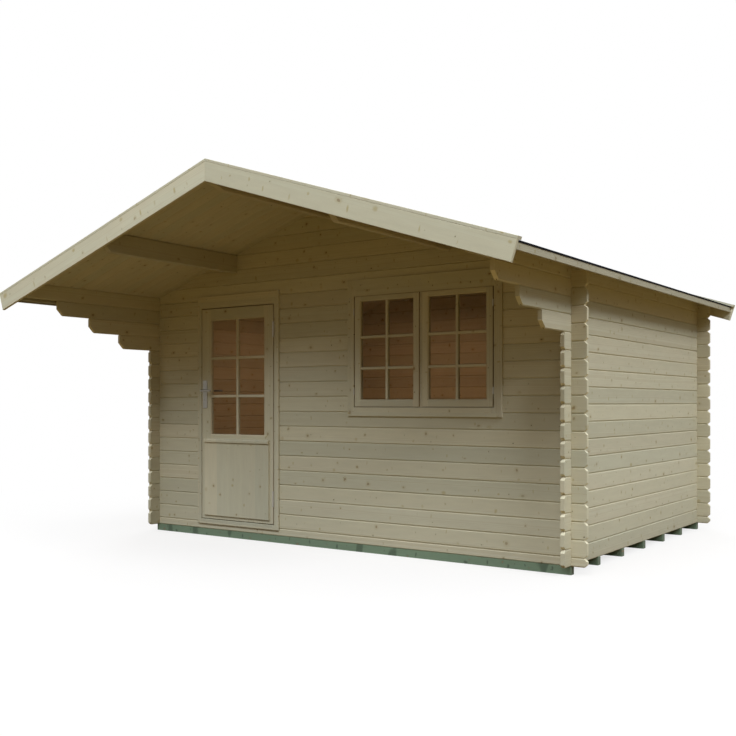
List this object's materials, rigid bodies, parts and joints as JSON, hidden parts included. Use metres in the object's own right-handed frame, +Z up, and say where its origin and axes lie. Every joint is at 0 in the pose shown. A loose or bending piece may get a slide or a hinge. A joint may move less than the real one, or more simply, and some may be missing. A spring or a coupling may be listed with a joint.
{
  "type": "garden house",
  "caption": "Log-built garden house with a gabled felt roof that reaches forward as a canopy, a half-glazed hinged door and a double casement window.",
  "frame": {"origin": "on the ground below the middle of the house's overall plan", "axes": "+X to the right seen from the front, +Y from the front to the rear, +Z up"},
  "size_m": [4.3674, 4.182, 2.6391],
  "materials": {
    "log_wood": "raw planed spruce, matte, with small knots",
    "trim_wood": "raw planed spruce, matte",
    "joinery_wood": "raw planed spruce, smooth, matte",
    "board_wood": "raw roof and floor boards, matte",
    "bearer_wood": "pressure-treated softwood, greenish, matte",
    "roof_felt": "mineral-surfaced bitumen felt, matte",
    "pane_glass": "clear float glass",
    "handle_metal": "satin anodised",
    "hinge_steel": "zinc-plated steel"
  },
  "bodies": {
    "root": {"bearer_1": "bearer_wood", "bearer_2": "bearer_wood", "bearer_3": "bearer_wood", "bearer_4": "bearer_wood", "bearer_5": "bearer_wood", "bearer_6": "bearer_wood", "bearer_7": "bearer_wood", "floor": "board_wood", "left_roof_boards": "board_wood", "right_roof_boards": "board_wood", "left_wall": "log_wood", "right_wall": "log_wood", "left_canopy_logs": "log_wood", "right_canopy_logs": "log_wood", "front_base_log": "log_wood", "front_wall_left": "log_wood", "front_wall_below_window": "log_wood", "front_wall_between": "log_wood", "front_wall_right": "log_wood", "front_gable": "log_wood", "rear_wall": "log_wood", "rear_gable": "log_wood", "ridge_purlin": "log_wood", "left_purlin": "log_wood", "right_purlin": "log_wood", "roof_felt": "roof_felt", "left_eaves_board": "trim_wood", "right_eaves_board": "trim_wood", "front_barge_boards": "trim_wood", "rear_barge_boards": "trim_wood", "door_casing": "trim_wood", "window_casing": "trim_wood", "door_frame": "joinery_wood", "window_frame": "joinery_wood", "left_sash": "joinery_wood", "right_sash": "joinery_wood", "window_glass": "pane_glass", "frame_hinge_knuckles": "hinge_steel", "window_hinges": "hinge_steel"},
    "door": {"door_leaf": "joinery_wood", "door_panel": "joinery_wood", "door_glass": "pane_glass", "door_handle_plates": "handle_metal", "door_hinge_knuckles": "hinge_steel"},
    "lever": {"door_lever": "handle_metal"}
  },
  "joints": [
    {"name": "door_hinge", "type": "hinge", "parent": "root", "child": "door", "pos_m": [-0.56725, -0.7755, 1], "axis": [0, 0, 1], "range_deg": [0, 160]},
    {"name": "lever_turn", "type": "hinge", "parent": "door", "child": "lever", "pos_m": [-1.3075, -0.768, 1.192], "axis": [0, 1, 0], "range_deg": [0, 40], "stiffness_Nm_per_rad": 1.2, "springref_deg": -14.32}
  ]
}
